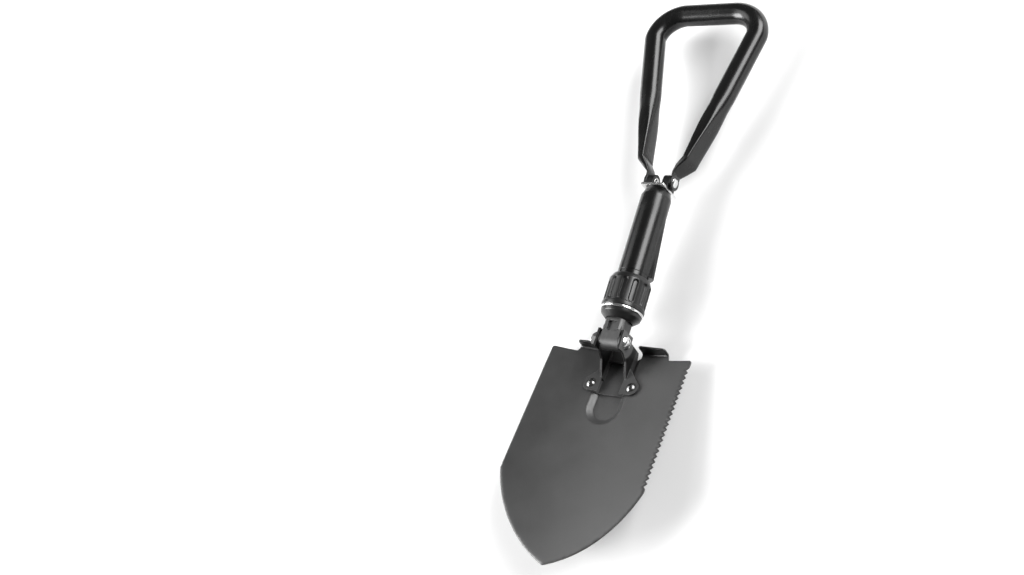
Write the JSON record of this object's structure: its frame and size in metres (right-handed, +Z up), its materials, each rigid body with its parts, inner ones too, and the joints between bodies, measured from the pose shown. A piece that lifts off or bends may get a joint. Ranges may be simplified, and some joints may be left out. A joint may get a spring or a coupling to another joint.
{
  "type": "folding camp shovel",
  "caption": "Three-fold camp shovel with a saw-edged blade on a bolted hinge, a screw lock collar on the shaft and a folding D-shaped handle.",
  "frame": {"origin": "on the surface that the unfolded shovel lies on, below the middle of its length and width", "axes": "+Y from the blade's tip to the grip, +Z up out of the blade's front face, +X towards the saw edge"},
  "size_m": [0.15, 0.5887, 0.0523],
  "materials": {
    "blade_paint": "satin powder coat with fine grain",
    "black_paint": "semi-gloss black coat",
    "tube_paint": "gloss black coat",
    "tang_metal": "grey machined steel",
    "zinc": "zinc plated",
    "bright_steel": "bright plated",
    "spring_steel": "drawn spring wire",
    "collar_plastic": "semi-gloss black"
  },
  "bodies": {
    "shaft": {"main_tube": "tube_paint", "tang": "tang_metal", "tang_pin": "zinc", "thread_sleeve": "zinc", "handle_clevis": "black_paint", "end_plate": "bright_steel", "lock_rod": "zinc", "lock_spring": "spring_steel", "spring_seat": "zinc", "rod_nut": "zinc"},
    "blade_group": {"blade": "blade_paint", "hinge_bracket": "black_paint", "bracket_rivet_left": "zinc", "bracket_rivet_right": "zinc", "hinge_bolt": "bright_steel", "hinge_nut": "bright_steel", "hinge_washer_left": "zinc", "hinge_washer_right": "zinc"},
    "thrust_group": {"thrust_cone": "collar_plastic", "thrust_ring": "bright_steel"},
    "collar": {"lock_collar": "collar_plastic"},
    "handle": {"handle_frame": "tube_paint", "pivot_rivet_left": "bright_steel", "pivot_rivet_right": "bright_steel"}
  },
  "joints": [
    {"name": "blade_fold", "type": "hinge", "parent": "shaft", "child": "blade_group", "pos_m": [0, -0.08409, 0.03145], "axis": [-1, 0, 0], "range_deg": [0, 171]},
    {"name": "handle_fold", "type": "hinge", "parent": "shaft", "child": "handle", "pos_m": [0, 0.08441, 0.03145], "axis": [1, 0, 0], "range_deg": [0, 180]},
    {"name": "collar_slide", "type": "slide", "parent": "shaft", "child": "thrust_group", "axis": [0, 1, 0], "range_m": [0, 0.0041]},
    {"name": "collar_turn", "type": "hinge", "parent": "thrust_group", "child": "collar", "pos_m": [0, -0.04409, 0.03145], "axis": [0, 1, 0], "range_deg": [0, 720]}
  ],
  "couplings": [
    {"joint": "collar_slide", "follows": "collar_turn", "m_per_rad": 0.00031831}
  ]
}
